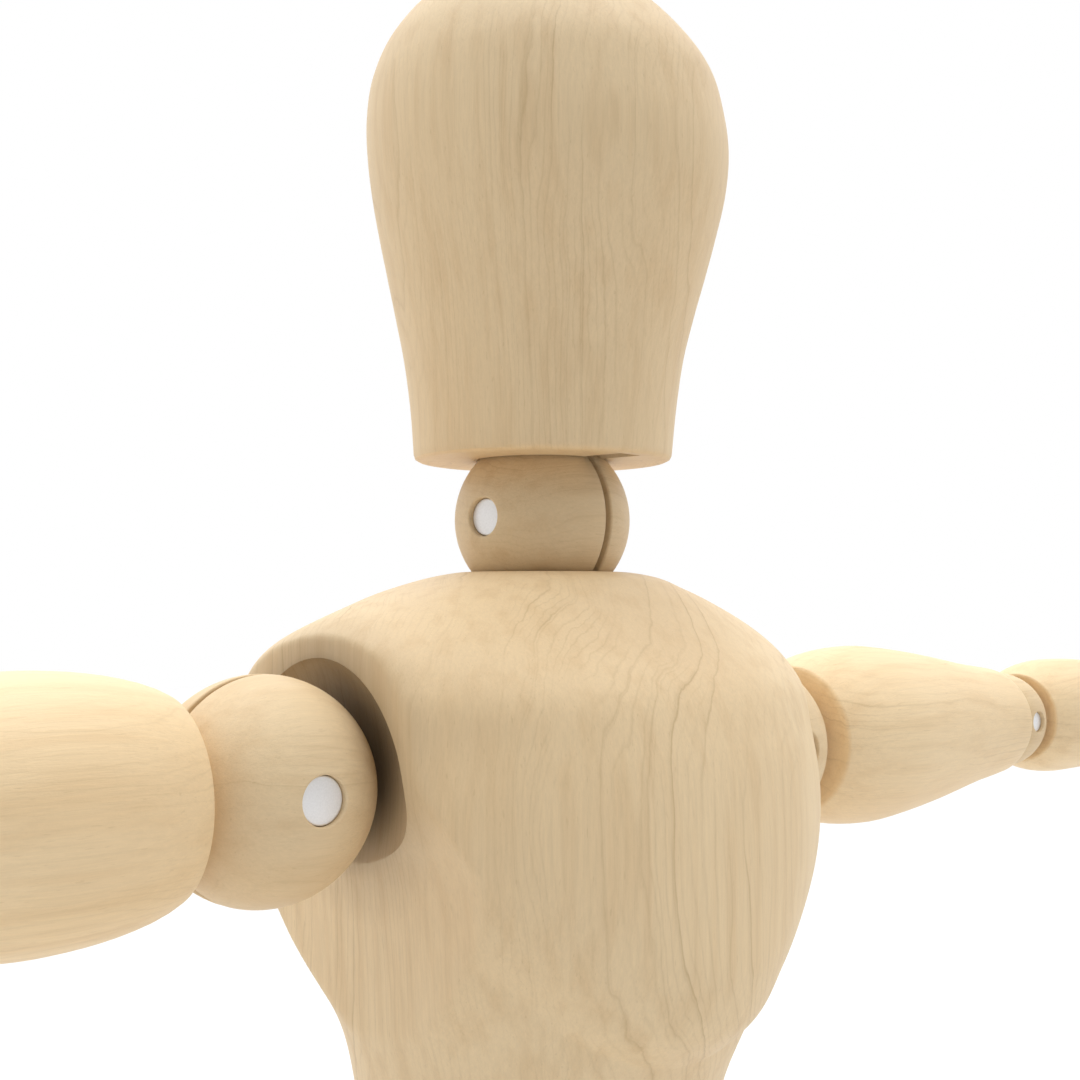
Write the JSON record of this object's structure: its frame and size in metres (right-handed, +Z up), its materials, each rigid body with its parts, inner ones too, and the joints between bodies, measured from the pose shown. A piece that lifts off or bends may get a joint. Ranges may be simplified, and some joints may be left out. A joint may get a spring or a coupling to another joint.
{
  "type": "artist mannequin",
  "caption": "Jointed wooden artist's figure with ball joints and spring-held limbs, arms held out level, on a round base with a steel rod.",
  "frame": {"origin": "centre of the base's underside", "axes": "+Z up, the figure faces -Y, its left hand points along +X"},
  "size_m": [0.2874, 0.1, 0.3042],
  "materials": {
    "wood": "fine-sanded pale hardwood, satin",
    "wood_base": "fine-sanded pale hardwood, satin",
    "pin_steel": "cut wire ends, dull",
    "rod_steel": "drawn rod, satin",
    "spring_steel": "drawn spring wire"
  },
  "bodies": {
    "stand": {"base": "wood_base"},
    "rod": {"support_rod": "rod_steel"},
    "pelvis": {"pelvis": "wood", "pelvis_spring": "spring_steel", "hip_wire_right": "spring_steel", "hip_wire_left": "spring_steel"},
    "waist_ball": {"waist_ball": "wood", "waist_pin": "pin_steel"},
    "torso": {"torso": "wood", "torso_spring": "spring_steel", "shoulder_spring": "spring_steel"},
    "neck_ball": {"neck_ball": "wood", "neck_pin": "pin_steel"},
    "head_link": {"head_screw_eye": "spring_steel"},
    "head": {"head": "wood"},
    "shoulder_ball_right": {"shoulder_ball_right": "wood", "shoulder_pin_right": "pin_steel"},
    "upper_arm_right": {"upper_arm_right": "wood", "upper_arm_spring_right": "spring_steel"},
    "elbow_ball_right": {"elbow_ball_right": "wood", "elbow_pin_right": "pin_steel"},
    "forearm_right": {"forearm_right": "wood", "forearm_spring_right": "spring_steel"},
    "wrist_ball_right": {"wrist_ball_right": "wood"},
    "hand_right": {"hand_right": "wood", "hand_pin_right": "pin_steel"},
    "hip_ball_right": {"hip_ball_right": "wood", "hip_pin_right": "pin_steel"},
    "thigh_right": {"thigh_right": "wood", "thigh_spring_right": "spring_steel"},
    "knee_ball_right": {"knee_ball_right": "wood", "knee_pin_right": "pin_steel"},
    "shin_right": {"shin_right": "wood", "shin_spring_right": "spring_steel"},
    "ankle_ball_right": {"ankle_ball_right": "wood"},
    "foot_right": {"foot_right": "wood", "foot_pin_right": "pin_steel"},
    "shoulder_ball_left": {"shoulder_ball_left": "wood", "shoulder_pin_left": "pin_steel"},
    "upper_arm_left": {"upper_arm_left": "wood", "upper_arm_spring_left": "spring_steel"},
    "elbow_ball_left": {"elbow_ball_left": "wood", "elbow_pin_left": "pin_steel"},
    "forearm_left": {"forearm_left": "wood", "forearm_spring_left": "spring_steel"},
    "wrist_ball_left": {"wrist_ball_left": "wood"},
    "hand_left": {"hand_left": "wood", "hand_pin_left": "pin_steel"},
    "hip_ball_left": {"hip_ball_left": "wood", "hip_pin_left": "pin_steel"},
    "thigh_left": {"thigh_left": "wood", "thigh_spring_left": "spring_steel"},
    "knee_ball_left": {"knee_ball_left": "wood", "knee_pin_left": "pin_steel"},
    "shin_left": {"shin_left": "wood", "shin_spring_left": "spring_steel"},
    "ankle_ball_left": {"ankle_ball_left": "wood"},
    "foot_left": {"foot_left": "wood", "foot_pin_left": "pin_steel"}
  },
  "joints": [
    {"name": "stand_swivel", "type": "hinge", "parent": "stand", "child": "rod", "pos_m": [0, 0, 0.014], "axis": [0, 0, 1], "continuous": true},
    {"name": "rod_lift", "type": "slide", "parent": "rod", "child": "pelvis", "axis": [0, 0, 1], "range_m": [0, 0.012]},
    {"name": "waist_turn", "type": "hinge", "parent": "pelvis", "child": "waist_ball", "pos_m": [0, 0, 0.197], "axis": [0, 0, 1], "range_deg": [-60, 60], "deforming": ["pelvis_spring"]},
    {"name": "waist_bend", "type": "hinge", "parent": "waist_ball", "child": "torso", "pos_m": [0, 0, 0.197], "axis": [1, 0, 0], "range_deg": [-25, 25], "deforming": ["torso_spring"]},
    {"name": "neck_turn", "type": "hinge", "parent": "torso", "child": "neck_ball", "pos_m": [0, 0, 0.2585], "axis": [0, 0, 1], "range_deg": [-80, 80], "deforming": ["torso_spring"]},
    {"name": "head_nod", "type": "hinge", "parent": "neck_ball", "child": "head_link", "pos_m": [0, 0, 0.2585], "axis": [0.9962, 0.0872, 0], "range_deg": [-30, 30], "deforming": ["head_screw_eye"]},
    {"name": "head_swivel", "type": "hinge", "parent": "head_link", "child": "head", "pos_m": [0, 0, 0.2585], "axis": [0, 0, 1], "continuous": true},
    {"name": "shoulder_turn_right", "type": "hinge", "parent": "torso", "child": "shoulder_ball_right", "pos_m": [-0.0254, 0.001, 0.239], "axis": [1, 0, 0], "range_deg": [-90, 90], "deforming": ["shoulder_spring"]},
    {"name": "shoulder_swing_right", "type": "hinge", "parent": "shoulder_ball_right", "child": "upper_arm_right", "pos_m": [-0.0254, 0.001, 0.239], "axis": [0, 1, 0], "range_deg": [-70, 70], "deforming": ["upper_arm_spring_right"]},
    {"name": "elbow_turn_right", "type": "hinge", "parent": "upper_arm_right", "child": "elbow_ball_right", "pos_m": [-0.0702, 0.001, 0.239], "axis": [1, 0, 0], "range_deg": [-90, 90], "deforming": ["upper_arm_spring_right"]},
    {"name": "elbow_bend_right", "type": "hinge", "parent": "elbow_ball_right", "child": "forearm_right", "pos_m": [-0.0702, 0.001, 0.239], "axis": [0, 1, 0], "range_deg": [-55, 55], "deforming": ["forearm_spring_right"]},
    {"name": "wrist_turn_right", "type": "hinge", "parent": "forearm_right", "child": "wrist_ball_right", "pos_m": [-0.1102, 0.001, 0.239], "axis": [1, 0, 0], "range_deg": [-90, 90], "deforming": ["forearm_spring_right"]},
    {"name": "wrist_bend_right", "type": "hinge", "parent": "wrist_ball_right", "child": "hand_right", "pos_m": [-0.1102, 0.001, 0.239], "axis": [0, 1, 0], "range_deg": [-45, 45], "deforming": ["forearm_spring_right"]},
    {"name": "hip_turn_right", "type": "hinge", "parent": "pelvis", "child": "hip_ball_right", "pos_m": [-0.0128, 0, 0.165], "axis": [0, 0, -1], "range_deg": [-12, 35], "deforming": ["hip_wire_right"]},
    {"name": "hip_swing_right", "type": "hinge", "parent": "hip_ball_right", "child": "thigh_right", "pos_m": [-0.0128, 0, 0.165], "axis": [-1, 0, 0], "range_deg": [-25, 55], "deforming": ["thigh_spring_right"]},
    {"name": "knee_turn_right", "type": "hinge", "parent": "thigh_right", "child": "knee_ball_right", "pos_m": [-0.0128, 0, 0.1], "axis": [0, 0, -1], "range_deg": [-10, 10], "deforming": ["thigh_spring_right"]},
    {"name": "knee_bend_right", "type": "hinge", "parent": "knee_ball_right", "child": "shin_right", "pos_m": [-0.0128, 0, 0.1], "axis": [1, 0, 0], "range_deg": [0, 65], "deforming": ["shin_spring_right"]},
    {"name": "ankle_turn_right", "type": "hinge", "parent": "shin_right", "child": "ankle_ball_right", "pos_m": [-0.0128, 0, 0.039], "axis": [0, 0, -1], "range_deg": [-10, 25], "deforming": ["shin_spring_right"]},
    {"name": "ankle_bend_right", "type": "hinge", "parent": "ankle_ball_right", "child": "foot_right", "pos_m": [-0.0128, 0, 0.039], "axis": [-1, 0, 0], "range_deg": [-20, 30], "deforming": ["shin_spring_right"]},
    {"name": "shoulder_turn_left", "type": "hinge", "parent": "torso", "child": "shoulder_ball_left", "pos_m": [0.0254, 0.001, 0.239], "axis": [1, 0, 0], "range_deg": [-90, 90], "deforming": ["shoulder_spring"]},
    {"name": "shoulder_swing_left", "type": "hinge", "parent": "shoulder_ball_left", "child": "upper_arm_left", "pos_m": [0.0254, 0.001, 0.239], "axis": [0, -1, 0], "range_deg": [-70, 70], "deforming": ["upper_arm_spring_left"]},
    {"name": "elbow_turn_left", "type": "hinge", "parent": "upper_arm_left", "child": "elbow_ball_left", "pos_m": [0.0702, 0.001, 0.239], "axis": [1, 0, 0], "range_deg": [-90, 90], "deforming": ["upper_arm_spring_left"]},
    {"name": "elbow_bend_left", "type": "hinge", "parent": "elbow_ball_left", "child": "forearm_left", "pos_m": [0.0702, 0.001, 0.239], "axis": [0, -1, 0], "range_deg": [-55, 55], "deforming": ["forearm_spring_left"]},
    {"name": "wrist_turn_left", "type": "hinge", "parent": "forearm_left", "child": "wrist_ball_left", "pos_m": [0.1102, 0.001, 0.239], "axis": [1, 0, 0], "range_deg": [-90, 90], "deforming": ["forearm_spring_left"]},
    {"name": "wrist_bend_left", "type": "hinge", "parent": "wrist_ball_left", "child": "hand_left", "pos_m": [0.1102, 0.001, 0.239], "axis": [0, -1, 0], "range_deg": [-45, 45], "deforming": ["forearm_spring_left"]},
    {"name": "hip_turn_left", "type": "hinge", "parent": "pelvis", "child": "hip_ball_left", "pos_m": [0.0128, 0, 0.165], "axis": [0, 0, 1], "range_deg": [-12, 35], "deforming": ["hip_wire_left"]},
    {"name": "hip_swing_left", "type": "hinge", "parent": "hip_ball_left", "child": "thigh_left", "pos_m": [0.0128, 0, 0.165], "axis": [-1, 0, 0], "range_deg": [-25, 55], "deforming": ["thigh_spring_left"]},
    {"name": "knee_turn_left", "type": "hinge", "parent": "thigh_left", "child": "knee_ball_left", "pos_m": [0.0128, 0, 0.1], "axis": [0, 0, 1], "range_deg": [-10, 10], "deforming": ["thigh_spring_left"]},
    {"name": "knee_bend_left", "type": "hinge", "parent": "knee_ball_left", "child": "shin_left", "pos_m": [0.0128, 0, 0.1], "axis": [1, 0, 0], "range_deg": [0, 65], "deforming": ["shin_spring_left"]},
    {"name": "ankle_turn_left", "type": "hinge", "parent": "shin_left", "child": "ankle_ball_left", "pos_m": [0.0128, 0, 0.039], "axis": [0, 0, 1], "range_deg": [-10, 25], "deforming": ["shin_spring_left"]},
    {"name": "ankle_bend_left", "type": "hinge", "parent": "ankle_ball_left", "child": "foot_left", "pos_m": [0.0128, 0, 0.039], "axis": [-1, 0, 0], "range_deg": [-20, 30], "deforming": ["shin_spring_left"]}
  ]
}
